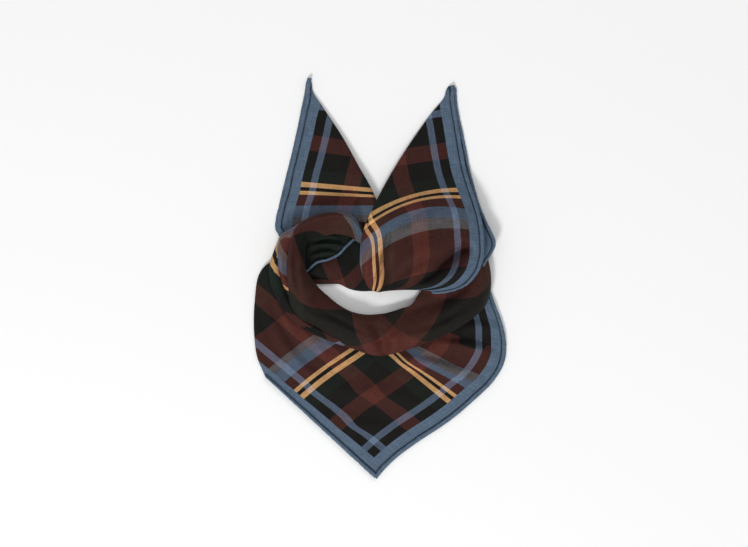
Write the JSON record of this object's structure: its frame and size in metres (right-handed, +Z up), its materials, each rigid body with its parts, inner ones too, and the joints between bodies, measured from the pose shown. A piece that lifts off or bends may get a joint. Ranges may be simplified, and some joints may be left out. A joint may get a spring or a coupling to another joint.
{
  "type": "folded square scarf",
  "caption": "Square scarf folded on the diagonal and tied once into a neck loop, laid flat with two pointed ends above the knot and a triangular bib below.",
  "frame": {"origin": "on the surface that the scarf rests on, at the middle of its outline", "axes": "+X across the scarf, +Y from the bib to the two free ends, +Z up from the surface"},
  "size_m": [0.254, 0.402, 0.0408],
  "materials": {
    "cloth": "fine plain weave, matte with a faint sheen"
  },
  "bodies": {
    "root": {"scarf": "cloth"}
  },
  "joints": []
}
